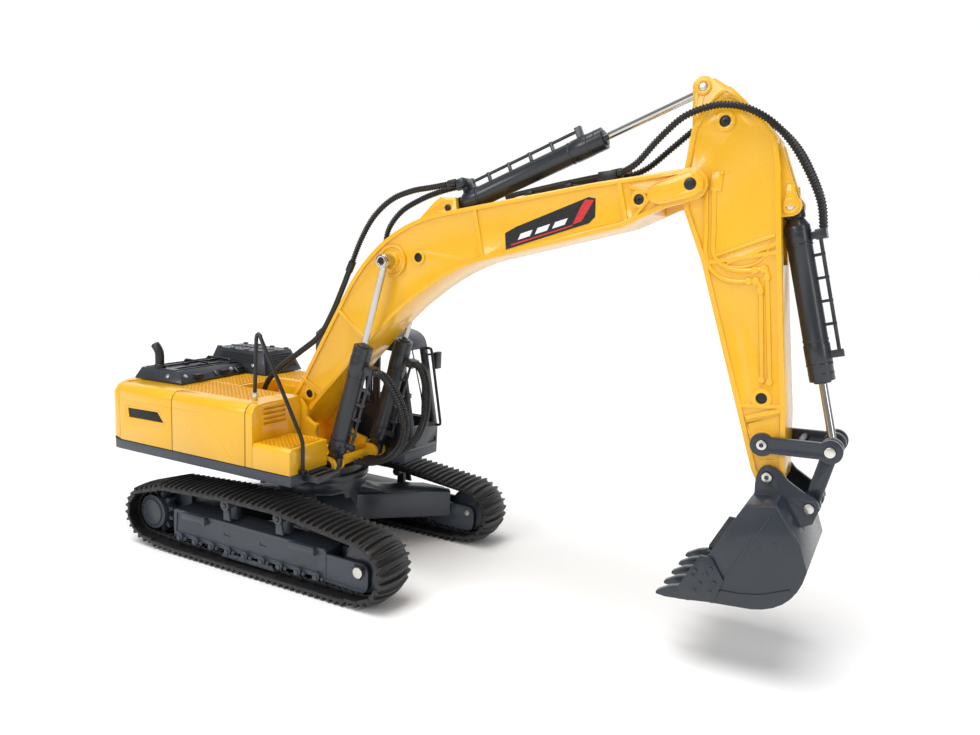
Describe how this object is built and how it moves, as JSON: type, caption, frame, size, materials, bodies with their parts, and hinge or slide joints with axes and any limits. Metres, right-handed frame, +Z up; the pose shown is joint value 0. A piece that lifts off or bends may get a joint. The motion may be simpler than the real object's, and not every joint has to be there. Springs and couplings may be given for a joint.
{
  "type": "excavator model",
  "caption": "Tracked excavator display model with slewing upper body, hinged boom, arm and bucket, and sliding cylinder models at each hinge.",
  "frame": {"origin": "middle of the whole model's footprint box on the floor; the slewing axis stands 54.95 mm behind it", "axes": "+X forward along the boom, +Y to the machine's left (the cab side), +Z up"},
  "size_m": [0.2869, 0.092, 0.1791],
  "materials": {
    "yellow_paint": "glossy amber-yellow paint",
    "slate_paint": "satin slate paint",
    "dark_paint": "satin dark grey paint",
    "black_plastic": "black moulded plastic",
    "grey_plastic": "grey moulded plastic",
    "black_rubber": "black moulded track",
    "hose_plastic": "black corrugated hose",
    "chrome": "polished plating",
    "bright_steel": "bright pin heads"
  },
  "bodies": {
    "undercarriage": {"car_body": "dark_paint", "track_frame_right": "slate_paint", "track_frame_left": "slate_paint", "track_belt_right": "black_rubber", "track_belt_left": "black_rubber", "track_rollers_right": "dark_paint", "track_rollers_left": "dark_paint", "carrier_rollers": "dark_paint", "frame_screws": "bright_steel", "slew_ring": "dark_paint", "wheel_pins": "bright_steel"},
    "right_sprocket": {"sprocket_right": "dark_paint"},
    "left_sprocket": {"sprocket_left": "dark_paint"},
    "right_idler": {"idler_right": "dark_paint"},
    "left_idler": {"idler_left": "dark_paint"},
    "upper_body": {"swing_frame": "slate_paint", "swivel_pin": "bright_steel", "counterweight": "yellow_paint", "side_housing_right": "yellow_paint", "side_housing_left": "yellow_paint", "toolbox": "yellow_paint", "centre_deck": "yellow_paint", "engine_hood": "slate_paint", "hood_grille": "slate_paint", "exhaust_pipe": "black_plastic", "handrail": "black_plastic", "boom_bracket": "yellow_paint", "bracket_pins": "black_plastic", "cab_shell": "slate_paint", "cab_seat": "black_plastic", "cab_console": "grey_plastic", "cab_mirror": "black_plastic", "cab_rail": "black_plastic", "front_step": "dark_paint", "cylinder_hoses_right": "hose_plastic", "cylinder_hoses_left": "hose_plastic"},
    "boom": {"boom": "yellow_paint", "boom_plugs": "black_plastic", "boom_pins": "black_plastic", "boom_hard_line": "black_plastic", "supply_hoses": "hose_plastic"},
    "boom_cylinder_tubes": {"boom_tube_right": "dark_paint", "boom_tube_left": "dark_paint"},
    "boom_cylinder_rods": {"boom_rod_right": "chrome", "boom_rod_left": "chrome"},
    "arm_cylinder_tube": {"arm_tube": "dark_paint"},
    "arm_cylinder_rod": {"arm_rod": "chrome"},
    "arm": {"arm": "yellow_paint", "arm_plugs": "black_plastic", "arm_pins": "bright_steel", "arm_hoses": "hose_plastic"},
    "bucket_cylinder_tube": {"bucket_tube": "dark_paint"},
    "bucket_cylinder_rod": {"bucket_rod": "chrome"},
    "rocker": {"rocker": "slate_paint", "rocker_pin": "bright_steel"},
    "bucket_link": {"bucket_link": "slate_paint"},
    "bucket": {"bucket": "slate_paint", "bucket_teeth": "slate_paint", "side_cutters": "slate_paint", "link_pin": "bright_steel"}
  },
  "joints": [
    {"name": "slew", "type": "hinge", "parent": "undercarriage", "child": "upper_body", "pos_m": [-0.05495, 0, 0.035], "axis": [0, 0, 1], "continuous": true},
    {"name": "right_sprocket_turn", "type": "hinge", "parent": "undercarriage", "child": "right_sprocket", "pos_m": [-0.10795, -0.037, 0.013], "axis": [0, 1, 0], "continuous": true},
    {"name": "left_sprocket_turn", "type": "hinge", "parent": "undercarriage", "child": "left_sprocket", "pos_m": [-0.10795, 0.037, 0.013], "axis": [0, 1, 0], "continuous": true},
    {"name": "right_idler_turn", "type": "hinge", "parent": "undercarriage", "child": "right_idler", "pos_m": [-0.00195, -0.037, 0.013], "axis": [0, 1, 0], "continuous": true},
    {"name": "left_idler_turn", "type": "hinge", "parent": "undercarriage", "child": "left_idler", "pos_m": [-0.00195, 0.037, 0.013], "axis": [0, 1, 0], "continuous": true},
    {"name": "boom_lift", "type": "hinge", "parent": "upper_body", "child": "boom", "pos_m": [-0.05995, 0, 0.0558], "axis": [0, -1, 0], "range_deg": [-30, 12], "deforming": ["supply_hoses", "cylinder_hoses_right", "cylinder_hoses_left"]},
    {"name": "boom_tube_swing", "type": "hinge", "parent": "upper_body", "child": "boom_cylinder_tubes", "pos_m": [-0.03745, 0, 0.039], "axis": [0, -1, 0], "range_deg": [-28.79, 11.64], "deforming": ["cylinder_hoses_right", "cylinder_hoses_left"]},
    {"name": "boom_rod_swing", "type": "hinge", "parent": "boom", "child": "boom_cylinder_rods", "pos_m": [-0.01485, 0, 0.1189], "axis": [0, -1, 0], "range_deg": [-0.76, 1.61]},
    {"name": "arm_swing", "type": "hinge", "parent": "boom", "child": "arm", "pos_m": [0.09355, 0, 0.1469], "axis": [0, -1, 0], "range_deg": [-32, 10], "deforming": ["arm_hoses", "supply_hoses"]},
    {"name": "arm_tube_swing", "type": "hinge", "parent": "boom", "child": "arm_cylinder_tube", "pos_m": [0.00575, 0, 0.1387], "axis": [0, -1, 0], "range_deg": [-5.77, 1.94], "deforming": ["supply_hoses"]},
    {"name": "arm_rod_swing", "type": "hinge", "parent": "arm", "child": "arm_cylinder_rod", "pos_m": [0.09375, 0, 0.1759], "axis": [0, -1, 0], "range_deg": [-8.46, 26.63]},
    {"name": "bucket_curl", "type": "hinge", "parent": "arm", "child": "bucket", "pos_m": [0.12335, 0, 0.061], "axis": [0, -1, 0], "range_deg": [-10, 45], "deforming": ["arm_hoses"]},
    {"name": "rocker_swing", "type": "hinge", "parent": "arm", "child": "rocker", "pos_m": [0.12095, 0, 0.0706], "axis": [0, -1, 0], "range_deg": [-8.5, 37.55]},
    {"name": "link_swing", "type": "hinge", "parent": "bucket", "child": "bucket_link", "pos_m": [0.13585, 0, 0.0535], "axis": [0, -1, 0], "range_deg": [-26.34, 6.01]},
    {"name": "bucket_tube_swing", "type": "hinge", "parent": "arm", "child": "bucket_cylinder_tube", "pos_m": [0.12195, 0, 0.1412], "axis": [0, -1, 0], "range_deg": [-1.69, 0.53], "deforming": ["arm_hoses"]},
    {"name": "bucket_rod_swing", "type": "hinge", "parent": "rocker", "child": "bucket_cylinder_rod", "pos_m": [0.13995, 0, 0.0713], "axis": [0, -1, 0], "range_deg": [-39.04, 8.83]}
  ],
  "couplings": [
    {"joint": "right_idler_turn", "follows": "right_sprocket_turn", "ratio": 1},
    {"joint": "left_idler_turn", "follows": "left_sprocket_turn", "ratio": 1},
    {"joint": "boom_tube_swing", "follows": "boom_lift", "ratio": 0.953},
    {"joint": "boom_rod_swing", "follows": "boom_lift", "ratio": -0.047},
    {"joint": "arm_tube_swing", "follows": "arm_swing", "ratio": 0.174},
    {"joint": "arm_rod_swing", "follows": "arm_swing", "ratio": -0.826},
    {"joint": "rocker_swing", "follows": "bucket_curl", "ratio": 0.83},
    {"joint": "link_swing", "follows": "bucket_curl", "ratio": -0.581},
    {"joint": "bucket_tube_swing", "follows": "bucket_curl", "ratio": -0.033},
    {"joint": "bucket_rod_swing", "follows": "bucket_curl", "ratio": -0.863}
  ]
}
